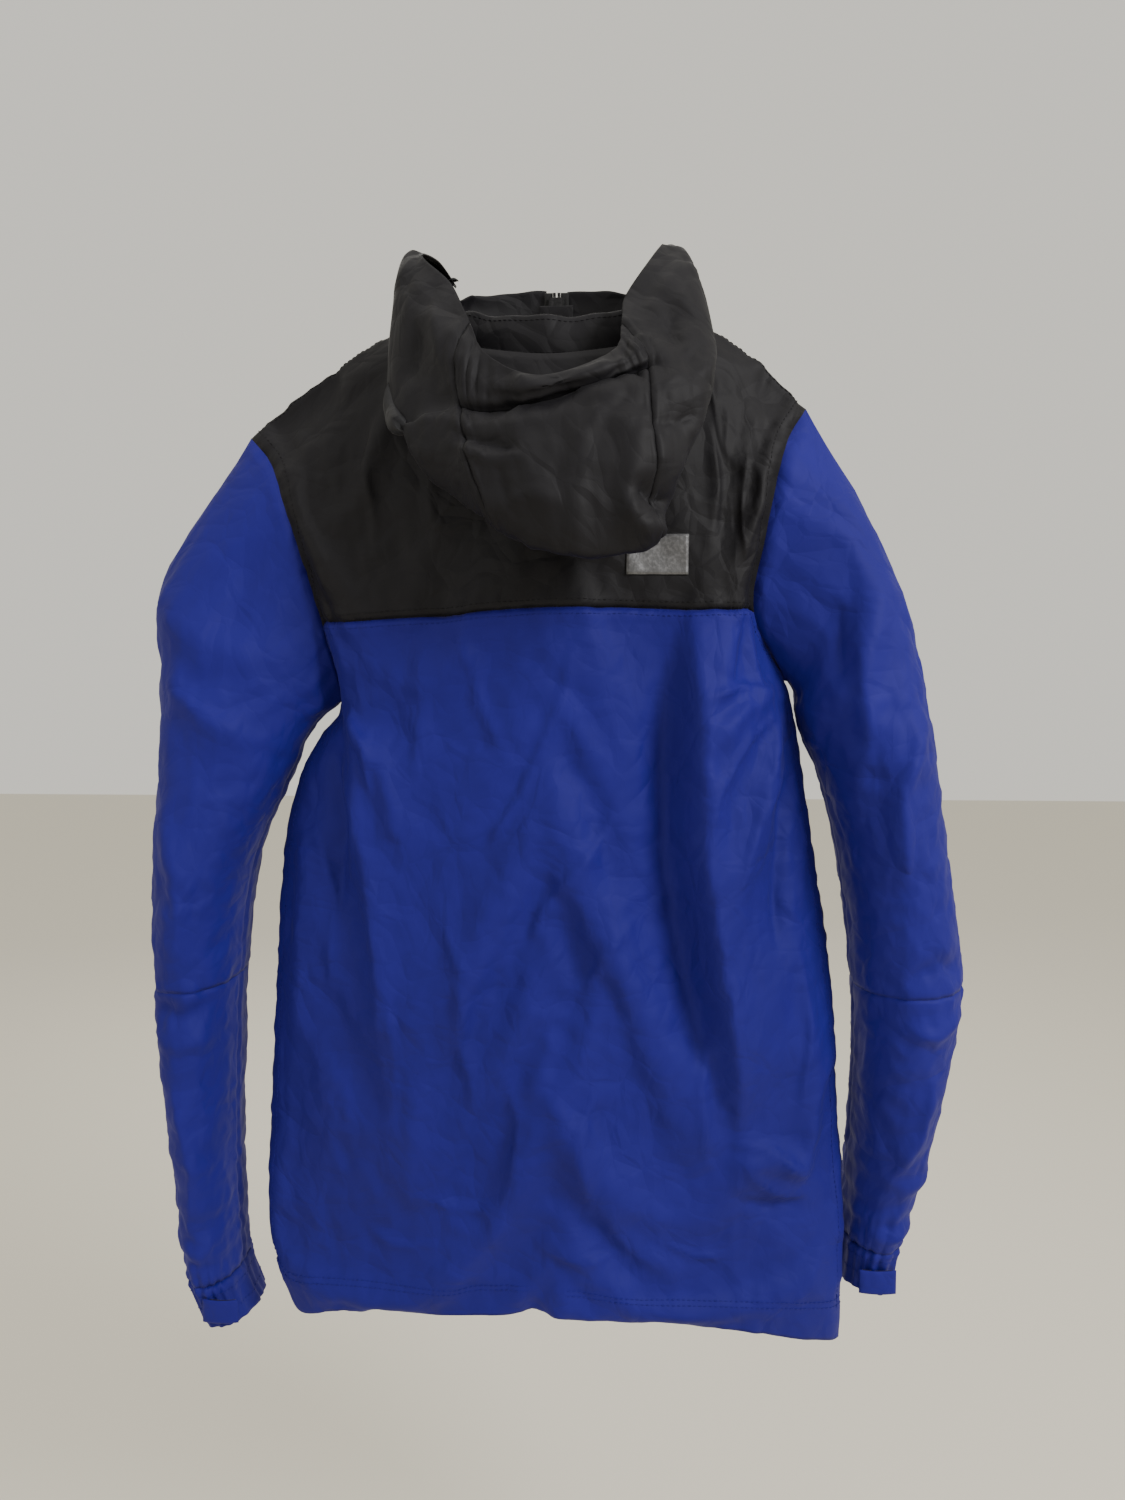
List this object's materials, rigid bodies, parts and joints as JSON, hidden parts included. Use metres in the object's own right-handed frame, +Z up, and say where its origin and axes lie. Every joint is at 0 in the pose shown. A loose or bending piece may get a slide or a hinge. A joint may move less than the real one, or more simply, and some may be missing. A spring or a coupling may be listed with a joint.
{
  "type": "hardshell jacket",
  "caption": "Hooded two-tone hardshell jacket on its hang loop: sewn shell panels, articulated sleeves, slumped hood, zips, storm flap and cuff tabs.",
  "frame": {"origin": "middle of the hang loop inside the back of the neck", "axes": "+Z up, +X to the wearer's left, the front of the jacket faces -Y"},
  "size_m": [0.643, 0.23, 0.87],
  "materials": {
    "black_shell": "coated nylon, fine plain weave, soft sheen",
    "blue_shell": "coated nylon, fine plain weave, soft sheen",
    "lining": "thin matt lining",
    "black_webbing": "ribbed woven tape",
    "zip_chain": "moulded zip teeth",
    "zip_hardware": "satin black enamel",
    "hook_and_loop": "hook and loop pile",
    "label": "satin woven label, blank",
    "reflective": "reflective film, plain",
    "eyelet_metal": "satin black"
  },
  "bodies": {
    "torso": {"back_panel": "blue_shell", "back_yoke": "black_shell", "collar_back": "black_shell", "collar_left": "black_shell", "collar_right": "black_shell", "flap_loop_pads": "hook_and_loop", "front_zip_stops": "zip_chain", "front_zip_tapes": "black_webbing", "front_zip_teeth": "zip_chain", "hang_loop": "black_webbing", "hem_channel": "lining", "hem_eyelets": "eyelet_metal", "inner_placket": "lining", "left_front_panel": "blue_shell", "left_front_yoke": "black_shell", "neck_facing": "lining", "pocket_bags": "lining", "pocket_welts": "black_webbing", "pocket_zip_tapes": "black_webbing", "pocket_zip_teeth": "zip_chain", "reflective_patch": "reflective", "right_front_panel": "blue_shell", "right_front_yoke": "black_shell", "size_label": "label", "storm_flap_base": "blue_shell"},
    "zip_slider": {"front_zip_slider": "zip_hardware"},
    "zip_pull": {"front_zip_pull": "zip_hardware"},
    "left_pocket_slider": {"left_pocket_slider": "zip_hardware"},
    "left_pocket_pull": {"left_pocket_pull": "zip_hardware"},
    "right_pocket_slider": {"right_pocket_slider": "zip_hardware"},
    "right_pocket_pull": {"right_pocket_pull": "zip_hardware"},
    "storm_flap": {"storm_flap": "blue_shell", "flap_hook_pads": "hook_and_loop"},
    "hood": {"hood_left_panel": "black_shell", "hood_center_panel": "black_shell", "hood_right_panel": "black_shell", "hood_brim": "black_shell", "hood_lining": "lining"},
    "left_upper_arm": {"left_upper_sleeve": "blue_shell"},
    "left_forearm": {"left_lower_sleeve": "blue_shell", "left_cuff_band": "blue_shell", "left_cuff_loop_pad": "hook_and_loop"},
    "left_cuff_tab": {"left_cuff_tab": "black_webbing", "left_cuff_hook_pad": "hook_and_loop"},
    "right_upper_arm": {"right_upper_sleeve": "blue_shell"},
    "right_forearm": {"right_lower_sleeve": "blue_shell", "right_cuff_band": "blue_shell", "right_cuff_loop_pad": "hook_and_loop"},
    "right_cuff_tab": {"right_cuff_tab": "black_webbing", "right_cuff_hook_pad": "hook_and_loop"}
  },
  "joints": [
    {"name": "front_zip", "type": "slide", "parent": "torso", "child": "zip_slider", "axis": [0, 0, -1], "range_m": [0, 0.782]},
    {"name": "front_zip_pull", "type": "hinge", "parent": "zip_slider", "child": "zip_pull", "pos_m": [0, -0.10053, 0.058], "axis": [-1, 0, 0], "range_deg": [0, 120]},
    {"name": "storm_flap_hinge", "type": "hinge", "parent": "torso", "child": "storm_flap", "pos_m": [0.022, -0.10533, -0.36], "axis": [0, 0, 1], "range_deg": [0, 150]},
    {"name": "hood_fold", "type": "hinge", "parent": "torso", "child": "hood", "pos_m": [0, -0.06, 0.04], "axis": [1, 0, 0], "range_deg": [0, 90]},
    {"name": "left_pocket_zip", "type": "slide", "parent": "torso", "child": "left_pocket_slider", "axis": [0, 0, -1], "range_m": [0, 0.145]},
    {"name": "left_pocket_zip_pull", "type": "hinge", "parent": "left_pocket_slider", "child": "left_pocket_pull", "pos_m": [0.12237, -0.09082, -0.419], "axis": [-0.9855, -0.1698, 0], "range_deg": [0, 120]},
    {"name": "left_shoulder", "type": "hinge", "parent": "torso", "child": "left_upper_arm", "pos_m": [0.216, -0.037, -0.046], "axis": [0, -1, 0], "range_deg": [0, 70]},
    {"name": "left_elbow", "type": "hinge", "parent": "left_upper_arm", "child": "left_forearm", "pos_m": [0.285, -0.101, -0.49015], "axis": [-1, 0, 0], "range_deg": [0, 90]},
    {"name": "left_cuff_tab_hinge", "type": "hinge", "parent": "left_forearm", "child": "left_cuff_tab", "pos_m": [0.2945, -0.0083, -0.769], "axis": [0, 0, -1], "range_deg": [0, 120]},
    {"name": "right_pocket_zip", "type": "slide", "parent": "torso", "child": "right_pocket_slider", "axis": [0, 0, -1], "range_m": [0, 0.145]},
    {"name": "right_pocket_zip_pull", "type": "hinge", "parent": "right_pocket_slider", "child": "right_pocket_pull", "pos_m": [-0.12237, -0.09082, -0.419], "axis": [-0.9855, 0.1698, 0], "range_deg": [0, 120]},
    {"name": "right_shoulder", "type": "hinge", "parent": "torso", "child": "right_upper_arm", "pos_m": [-0.216, -0.037, -0.046], "axis": [0, 1, 0], "range_deg": [0, 70]},
    {"name": "right_elbow", "type": "hinge", "parent": "right_upper_arm", "child": "right_forearm", "pos_m": [-0.285, -0.101, -0.49015], "axis": [-1, 0, 0], "range_deg": [0, 90]},
    {"name": "right_cuff_tab_hinge", "type": "hinge", "parent": "right_forearm", "child": "right_cuff_tab", "pos_m": [-0.2865, -0.0283, -0.739], "axis": [0, 0, 1], "range_deg": [0, 120]}
  ]
}
